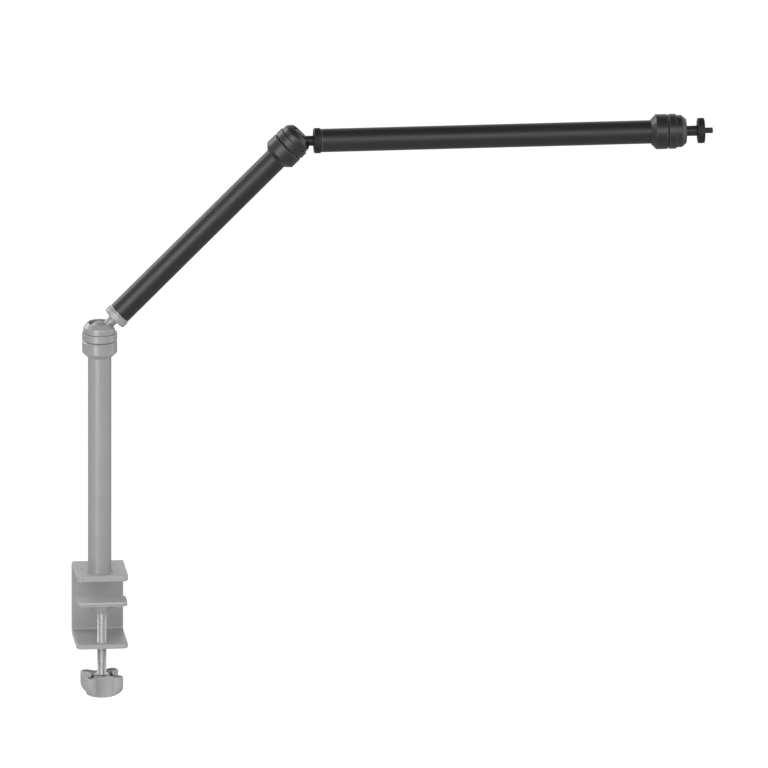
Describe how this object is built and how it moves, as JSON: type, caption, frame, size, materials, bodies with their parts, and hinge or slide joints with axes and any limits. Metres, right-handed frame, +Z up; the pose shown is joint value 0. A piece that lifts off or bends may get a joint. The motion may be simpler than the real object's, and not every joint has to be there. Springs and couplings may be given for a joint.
{
  "type": "articulating friction arm",
  "caption": "Desk-clamped arm of round tubes joined by lockable notched ball heads, ending in a camera screw.",
  "frame": {"origin": "underside of the clamp's top jaw, on the axis of the upright post", "axes": "+Z up along the post, +X the way the arm reaches, -Y the way the clamp's mouth opens"},
  "size_m": [0.6814, 0.0752, 0.6236],
  "materials": {
    "grey_anodised": "satin grey anodised aluminium",
    "grey_turned": "turned grey anodised aluminium",
    "grey_cast": "fine cast grey aluminium",
    "black_anodised": "satin black anodised aluminium",
    "black_turned": "turned black anodised aluminium, semi-gloss",
    "black_steel": "blackened steel",
    "grey_steel": "grey satin steel",
    "bright_chrome": "bright plated steel",
    "spring_steel": "spring steel",
    "white_nylon": "natural nylon",
    "grey_rubber": "matt grey rubber",
    "grey_knob": "fine-grained grey moulded plastic"
  },
  "bodies": {
    "root": {"clamp_frame": "grey_anodised", "jaw_rubber": "grey_rubber", "rubber_rivets": "grey_turned", "post_washer": "grey_turned", "post_bolt": "grey_steel", "post_plug": "grey_turned", "post_tube": "grey_anodised", "post_neck": "grey_turned", "post_spring": "spring_steel"},
    "pressure_foot": {"pressure_plate": "grey_cast", "pressure_pad": "grey_rubber"},
    "clamp_spindle": {"clamp_screw": "bright_chrome", "screw_clip": "spring_steel", "clamp_knob": "grey_knob", "knob_insert": "bright_chrome"},
    "post_lock": {"post_collar": "grey_turned"},
    "post_socket": {"post_ring": "grey_turned", "post_cap": "grey_turned", "post_seat": "white_nylon"},
    "post_stud": {"post_ball_stud": "grey_steel"},
    "post_disc": {"post_lock_disc": "grey_turned"},
    "middle_arm": {"middle_plug": "grey_turned", "middle_tube": "black_anodised", "elbow_neck": "black_turned", "elbow_spring": "spring_steel"},
    "elbow_lock": {"elbow_collar": "black_turned"},
    "elbow_socket": {"elbow_ring": "black_turned", "elbow_cap": "black_turned", "elbow_seat": "white_nylon"},
    "elbow_stud": {"elbow_ball_stud": "black_steel"},
    "elbow_disc": {"elbow_lock_disc": "black_turned"},
    "upper_arm": {"upper_plug": "black_turned", "upper_tube": "black_anodised", "tip_neck": "black_turned", "tip_spring": "spring_steel"},
    "tip_lock": {"tip_collar": "black_turned"},
    "tip_socket": {"tip_ring": "black_turned", "tip_cap": "black_turned", "tip_seat": "white_nylon"},
    "tip_stud": {"tip_ball_stud": "black_steel"},
    "tip_disc": {"tip_lock_disc": "black_turned"}
  },
  "joints": [
    {"name": "foot_travel", "type": "slide", "parent": "root", "child": "pressure_foot", "axis": [0, 0, 1], "range_m": [-0.0334, 0.0211]},
    {"name": "screw_turn", "type": "hinge", "parent": "pressure_foot", "child": "clamp_spindle", "pos_m": [0.0012, -0.012, -0.035], "axis": [0, 0, 1], "range_deg": [-7920, 5040]},
    {"name": "post_lock_turn", "type": "hinge", "parent": "root", "child": "post_lock", "pos_m": [0, 0, 0.2707], "axis": [0, 0, 1], "range_deg": [0, 120]},
    {"name": "post_socket_swivel", "type": "hinge", "parent": "root", "child": "post_socket", "pos_m": [0, 0, 0.2707], "axis": [0, 0, 1], "continuous": true},
    {"name": "post_ball_tilt", "type": "hinge", "parent": "post_socket", "child": "post_stud", "pos_m": [0, 0, 0.2707], "axis": [0, 1, 0], "range_deg": [-69, 19]},
    {"name": "post_disc_turn", "type": "hinge", "parent": "post_stud", "child": "post_disc", "pos_m": [0, 0, 0.2707], "axis": [0.7071, 0, 0.7071], "continuous": true},
    {"name": "middle_arm_spin", "type": "hinge", "parent": "post_stud", "child": "middle_arm", "pos_m": [0, 0, 0.2707], "axis": [0.7071, 0, 0.7071], "continuous": true},
    {"name": "elbow_lock_turn", "type": "hinge", "parent": "middle_arm", "child": "elbow_lock", "pos_m": [0.20697, 0, 0.47767], "axis": [0.7071, 0, 0.7071], "range_deg": [0, 120]},
    {"name": "elbow_socket_swivel", "type": "hinge", "parent": "middle_arm", "child": "elbow_socket", "pos_m": [0.20697, 0, 0.47767], "axis": [0.7071, 0, 0.7071], "continuous": true},
    {"name": "elbow_ball_tilt", "type": "hinge", "parent": "elbow_socket", "child": "elbow_stud", "pos_m": [0.20697, 0, 0.47767], "axis": [0, 1, 0], "range_deg": [-69, 19]},
    {"name": "elbow_disc_turn", "type": "hinge", "parent": "elbow_stud", "child": "elbow_disc", "pos_m": [0.20697, 0, 0.47767], "axis": [1, 0, 0], "continuous": true},
    {"name": "upper_arm_spin", "type": "hinge", "parent": "elbow_stud", "child": "upper_arm", "pos_m": [0.20697, 0, 0.47767], "axis": [1, 0, 0], "continuous": true},
    {"name": "tip_lock_turn", "type": "hinge", "parent": "upper_arm", "child": "tip_lock", "pos_m": [0.61467, 0, 0.47767], "axis": [1, 0, 0], "range_deg": [0, 120]},
    {"name": "tip_socket_swivel", "type": "hinge", "parent": "upper_arm", "child": "tip_socket", "pos_m": [0.61467, 0, 0.47767], "axis": [1, 0, 0], "continuous": true},
    {"name": "tip_ball_tilt", "type": "hinge", "parent": "tip_socket", "child": "tip_stud", "pos_m": [0.61467, 0, 0.47767], "axis": [0, 1, 0], "range_deg": [-24, 64]},
    {"name": "tip_disc_turn", "type": "hinge", "parent": "tip_stud", "child": "tip_disc", "pos_m": [0.61467, 0, 0.47767], "axis": [1, 0, 0], "continuous": true}
  ],
  "couplings": [
    {"joint": "foot_travel", "follows": "screw_turn", "m_per_rad": 0.00023873}
  ]
}
